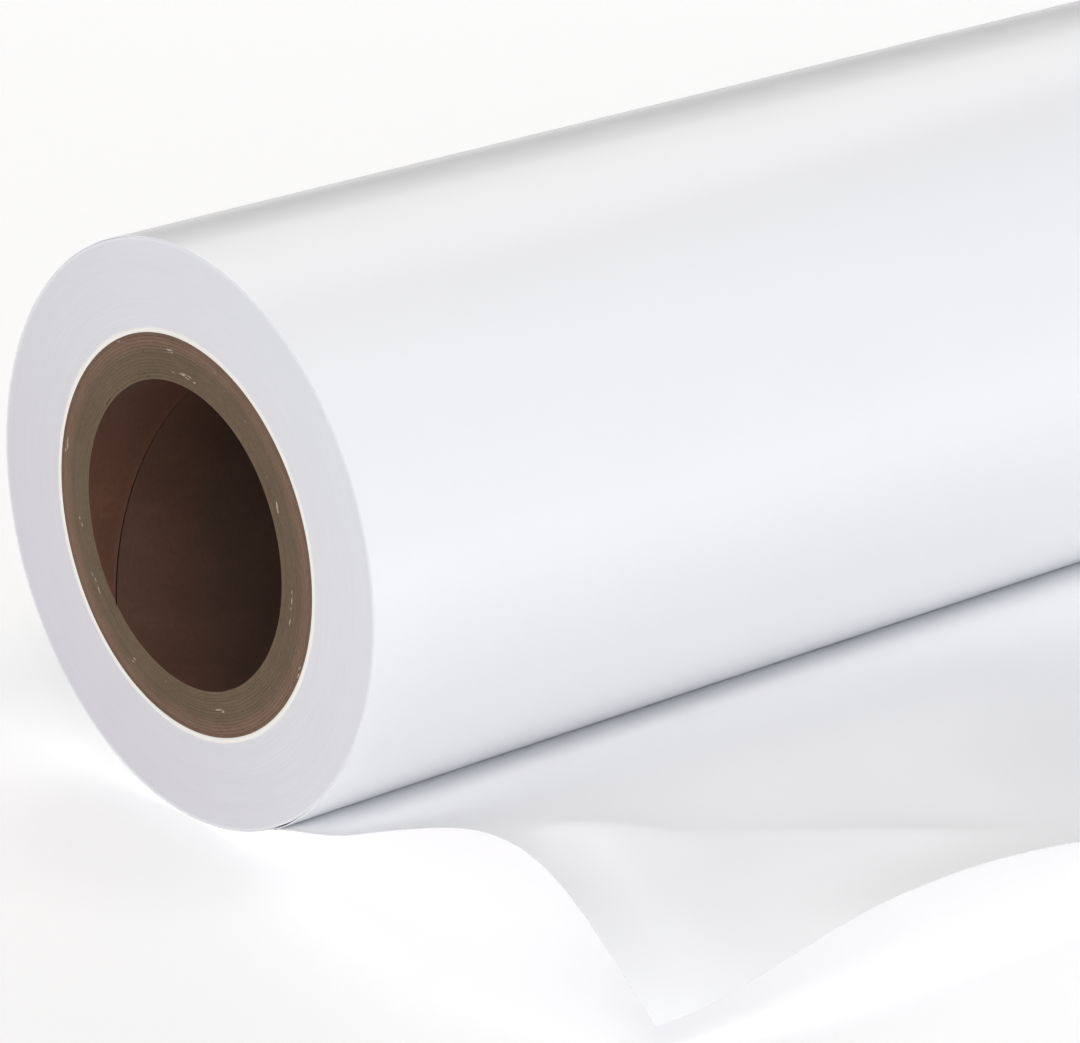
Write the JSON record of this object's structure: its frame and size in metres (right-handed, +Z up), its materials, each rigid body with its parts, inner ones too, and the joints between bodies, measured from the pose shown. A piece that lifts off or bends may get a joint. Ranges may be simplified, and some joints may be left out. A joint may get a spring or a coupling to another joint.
{
  "type": "roll of adhesive vinyl",
  "caption": "Roll of white self-adhesive vinyl wound on a paperboard core, with the loose end of the web lying out in front of it.",
  "frame": {"origin": "on the core's axis, half way along the roll", "axes": "+X along the roll's axis, +Z up, -Y to the front, where the loose end lies"},
  "size_m": [0.6096, 0.2536, 0.1452],
  "materials": {
    "core_inner_board": "matte paperboard, dark brown",
    "core_board": "matte paperboard, grey-brown",
    "core_outer_board": "matte paperboard, red-brown",
    "tape": "translucent tape",
    "web_edge": "smooth cut edges of many turns",
    "vinyl_film": "satin white vinyl",
    "adhesive": "clear soft adhesive",
    "release_liner": "smooth coated paper"
  },
  "bodies": {
    "web_end": {"wrap_film": "vinyl_film", "wrap_adhesive": "adhesive", "wrap_liner": "release_liner"},
    "roll": {"core_inner_ply": "core_inner_board", "core_ply_02": "core_board", "core_ply_03": "core_board", "core_ply_04": "core_board", "core_ply_05": "core_board", "core_ply_06": "core_board", "core_ply_07": "core_board", "core_ply_08": "core_board", "core_ply_09": "core_board", "core_ply_10": "core_outer_board", "core_ply_11": "core_outer_board", "core_ply_12": "core_outer_board", "core_ply_13": "core_outer_board", "core_outer_ply": "core_outer_board", "start_tape": "tape", "wound_web": "web_edge"},
    "tail": {"tail_film": "vinyl_film", "tail_adhesive": "adhesive", "tail_liner": "release_liner"}
  },
  "joints": [
    {"name": "roll_turn", "type": "hinge", "parent": "web_end", "child": "roll", "pos_m": [0, 0, 0], "axis": [1, 0, 0], "continuous": true},
    {"name": "tail_lift", "type": "hinge", "parent": "web_end", "child": "tail", "pos_m": [0, -0.04258, -0.06191], "axis": [-1, 0, 0], "range_deg": [0, 25]}
  ]
}
